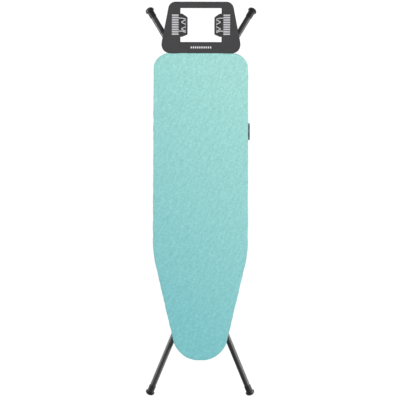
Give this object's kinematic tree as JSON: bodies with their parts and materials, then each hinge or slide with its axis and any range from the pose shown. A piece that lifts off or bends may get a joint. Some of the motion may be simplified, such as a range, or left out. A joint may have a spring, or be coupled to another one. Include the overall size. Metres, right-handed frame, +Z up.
{
  "type": "ironing board",
  "caption": "Folding ironing board with a rounded nose, padded cover, crossed tube legs under a sprung height lever, and a moulded iron rest at the tail end",
  "frame": {"origin": "middle of the folded part's outline, at the height of the four foot caps' lowest points", "axes": "+Y along the board to the iron rest, -Y to the rounded nose, +Z up out of the ironing surface, X across"},
  "size_m": [0.4172, 1.4787, 0.0636],
  "materials": {
    "black_paint": "satin powder coat",
    "grey_paint": "matt grey powder coat",
    "zinc": "bright zinc plate",
    "spring_steel": "plain drawn wire",
    "charcoal_plastic": "fine moulded grain",
    "dark_plastic": "fine moulded grain",
    "black_plastic": "satin moulding",
    "grey_silicone": "matt heat-proof silicone",
    "turquoise_cotton": "melange woven cotton",
    "foam": "open-cell foam",
    "elastic": "covered elastic cord"
  },
  "bodies": {
    "board": {"rim_tube": "black_paint", "deck_mesh": "grey_paint", "brace_tail": "grey_paint", "brace_middle": "grey_paint", "brace_nose": "grey_paint", "slide_channel": "grey_paint", "channel_rivet_tail": "zinc", "channel_rivet_nose": "zinc", "hinge_bracket_left": "zinc", "hinge_bracket_right": "zinc", "hinge_pin_left": "zinc", "hinge_pin_right": "zinc", "hinge_rivet_left": "zinc", "hinge_rivet_right": "zinc", "rest_strap_left": "black_paint", "rest_strap_right": "black_paint", "strap_rivet_left": "zinc", "strap_rivet_right": "zinc", "rest_screw_tail_left": "zinc", "rest_screw_tail_right": "zinc", "rest_screw_board_left": "zinc", "rest_screw_board_right": "zinc", "rest_ear_left": "dark_plastic", "rest_ear_right": "dark_plastic", "rest_inlay_left": "grey_silicone", "rest_inlay_right": "grey_silicone", "rest_truss_left": "grey_silicone", "rest_truss_right": "grey_silicone", "iron_rest": "charcoal_plastic", "lever_clip_tail": "black_plastic", "lever_clip_nose": "black_plastic", "return_spring": "spring_steel", "foam_pad": "foam", "cover": "turquoise_cotton", "hem_elastic": "elastic"},
    "nose_leg_frame": {"nose_leg_left": "black_paint", "nose_leg_right": "black_paint", "nose_foot_left": "black_plastic", "nose_foot_right": "black_plastic", "nose_plug_left": "black_plastic", "nose_plug_right": "black_plastic", "pivot_bolt_left": "zinc", "pivot_bolt_right": "zinc", "pivot_washer_left": "zinc", "pivot_washer_right": "zinc", "pivot_nut_left": "zinc", "pivot_nut_right": "zinc", "nose_spreader": "black_paint"},
    "tail_leg_frame": {"tail_leg_left": "black_paint", "tail_leg_right": "black_paint", "tail_foot_left": "black_plastic", "tail_foot_right": "black_plastic", "tail_plug_left": "black_plastic", "tail_plug_right": "black_plastic", "tail_spreader_lower": "black_paint", "tail_spreader_upper": "black_paint", "slider_axle": "zinc", "slider_roller": "black_plastic"},
    "release_lever": {"lever_wire": "zinc", "lever_grip": "black_plastic"}
  },
  "joints": [
    {"name": "leg_fold", "type": "hinge", "parent": "board", "child": "nose_leg_frame", "pos_m": [0, 0.3414, 0.0168], "axis": [1, 0, 0], "range_deg": [0, 52]},
    {"name": "cross_pivot", "type": "hinge", "parent": "nose_leg_frame", "child": "tail_leg_frame", "pos_m": [0, -0.0086, 0.0168], "axis": [1, 0, 0], "range_deg": [-104, 0]},
    {"name": "lever_release", "type": "hinge", "parent": "board", "child": "release_lever", "pos_m": [0.095, 0.0464, 0.0448], "axis": [0, -1, 0], "range_deg": [0, 6.5], "stiffness_Nm_per_rad": 0.3, "springref_deg": -11.46, "deforming": ["return_spring"]}
  ],
  "couplings": [
    {"joint": "cross_pivot", "follows": "leg_fold", "ratio": -2}
  ]
}
